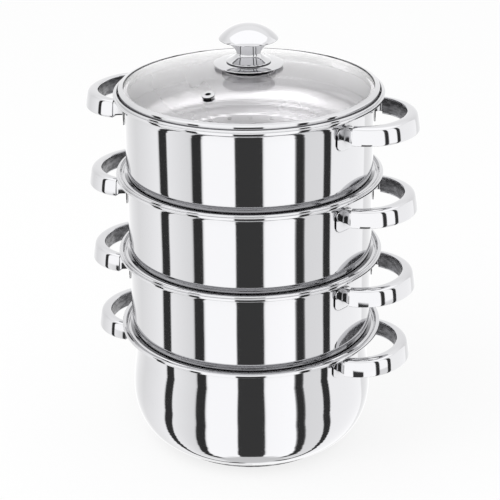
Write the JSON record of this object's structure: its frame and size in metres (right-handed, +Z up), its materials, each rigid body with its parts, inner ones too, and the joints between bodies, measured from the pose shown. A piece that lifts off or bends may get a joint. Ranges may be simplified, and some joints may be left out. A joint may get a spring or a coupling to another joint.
{
  "type": "steamer pot",
  "caption": "Stacking stainless-steel steamer: bellied cooking pot, straight-walled steamer tiers with punched trays, domed glass lid with knob and steam vent, loop handles on both sides.",
  "frame": {"origin": "centre of the pot's underside, on the stack's axis", "axes": "+Z up the stack's axis, +X through the middle of the right handles, +Y towards the back, away from the steam vent"},
  "size_m": [0.3078, 0.24, 0.3964],
  "materials": {
    "polished_steel": "mirror-polished stainless steel",
    "satin_steel": "satin stainless steel",
    "aluminium_core": "rolled aluminium",
    "lid_glass": "clear tempered glass",
    "silicone": "matt dark silicone"
  },
  "bodies": {
    "pot": {"pot_shell": "polished_steel", "pot_base_core": "aluminium_core", "pot_base_cap": "satin_steel", "pot_handle_right": "polished_steel", "pot_bracket_right_front": "polished_steel", "pot_bracket_right_back": "polished_steel", "pot_handle_left": "polished_steel", "pot_bracket_left_front": "polished_steel", "pot_bracket_left_back": "polished_steel"},
    "lower_tier": {"lower_tier_wall": "polished_steel", "lower_tier_tray": "satin_steel", "lower_tier_handle_right": "polished_steel", "lower_tier_bracket_right_front": "polished_steel", "lower_tier_bracket_right_back": "polished_steel", "lower_tier_handle_left": "polished_steel", "lower_tier_bracket_left_front": "polished_steel", "lower_tier_bracket_left_back": "polished_steel"},
    "middle_tier": {"middle_tier_wall": "polished_steel", "middle_tier_tray": "satin_steel", "middle_tier_handle_right": "polished_steel", "middle_tier_bracket_right_front": "polished_steel", "middle_tier_bracket_right_back": "polished_steel", "middle_tier_handle_left": "polished_steel", "middle_tier_bracket_left_front": "polished_steel", "middle_tier_bracket_left_back": "polished_steel"},
    "upper_tier": {"upper_tier_wall": "polished_steel", "upper_tier_tray": "satin_steel", "upper_tier_handle_right": "polished_steel", "upper_tier_bracket_right_front": "polished_steel", "upper_tier_bracket_right_back": "polished_steel", "upper_tier_handle_left": "polished_steel", "upper_tier_bracket_left_front": "polished_steel", "upper_tier_bracket_left_back": "polished_steel"},
    "lid": {"lid_glass": "lid_glass", "lid_band": "polished_steel", "lid_plate_gasket": "silicone", "lid_knob_plate": "polished_steel", "lid_knob_body": "polished_steel", "lid_knob_cap": "polished_steel", "lid_cup_gasket": "silicone", "lid_inner_cup": "satin_steel", "lid_screw": "satin_steel", "lid_vent_washer": "silicone", "lid_vent_eyelet": "polished_steel"}
  },
  "joints": [
    {"name": "lower_tier_lift", "type": "slide", "parent": "pot", "child": "lower_tier", "axis": [0, 0, 1], "range_m": [0, 0.12]},
    {"name": "middle_tier_lift", "type": "slide", "parent": "lower_tier", "child": "middle_tier", "axis": [0, 0, 1], "range_m": [0, 0.12]},
    {"name": "upper_tier_lift", "type": "slide", "parent": "middle_tier", "child": "upper_tier", "axis": [0, 0, 1], "range_m": [0, 0.12]},
    {"name": "lid_lift", "type": "slide", "parent": "upper_tier", "child": "lid", "axis": [0, 0, 1], "range_m": [0, 0.12]}
  ]
}
